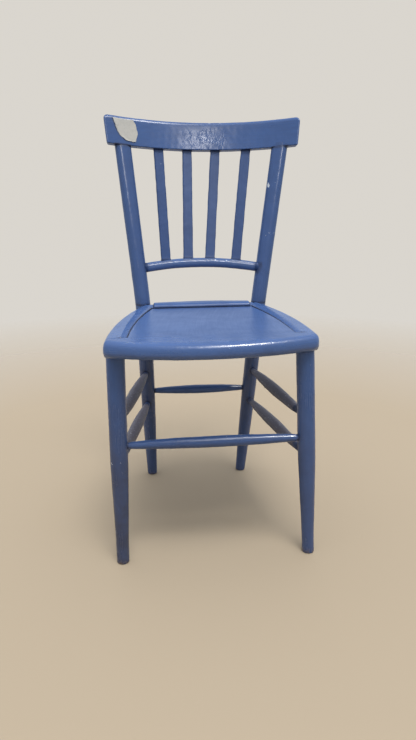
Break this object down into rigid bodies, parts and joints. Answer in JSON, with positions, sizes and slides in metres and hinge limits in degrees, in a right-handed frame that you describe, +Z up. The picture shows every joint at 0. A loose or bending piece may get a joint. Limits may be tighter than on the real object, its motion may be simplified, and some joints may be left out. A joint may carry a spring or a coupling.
{
  "type": "painted wooden side chair",
  "caption": "Old wooden side chair with a bent crest rail, slatted back, framed panel seat and turned legs and rungs, in worn brushed blue paint.",
  "frame": {"origin": "on the floor, below the middle of the chair's bounding box", "axes": "+Z up, front of the chair towards -Y, the sitter's left hand towards +X"},
  "size_m": [0.452, 0.5343, 0.8728],
  "materials": {
    "blue_paint": "semi-gloss brushed blue paint over wood, worn and wrinkled in places",
    "worn_dark_rung": "dark rough wood with scuffed remains of paint",
    "bare_wood": "plain unfinished hardwood",
    "screw_steel": "old steel, painted over on the head",
    "torn_paper": "matt off-white torn paper, bare"
  },
  "bodies": {
    "root": {"crest_rail": "blue_paint", "lower_back_rail": "blue_paint", "back_slat_1": "blue_paint", "back_slat_2": "blue_paint", "back_slat_3": "blue_paint", "back_slat_4": "blue_paint", "back_post_left": "blue_paint", "back_post_right": "blue_paint", "front_leg_left": "blue_paint", "front_leg_right": "blue_paint", "seat_front_rail": "blue_paint", "seat_side_rail_left": "blue_paint", "seat_side_rail_right": "blue_paint", "seat_back_rail": "blue_paint", "seat_panel": "blue_paint", "front_stretcher": "blue_paint", "rear_stretcher": "blue_paint", "upper_stretcher_left": "worn_dark_rung", "upper_stretcher_right": "worn_dark_rung", "lower_stretcher_left": "worn_dark_rung", "lower_stretcher_right": "worn_dark_rung", "seat_dowels": "bare_wood", "post_screws": "screw_steel", "label_remnant": "torn_paper"}
  },
  "joints": []
}
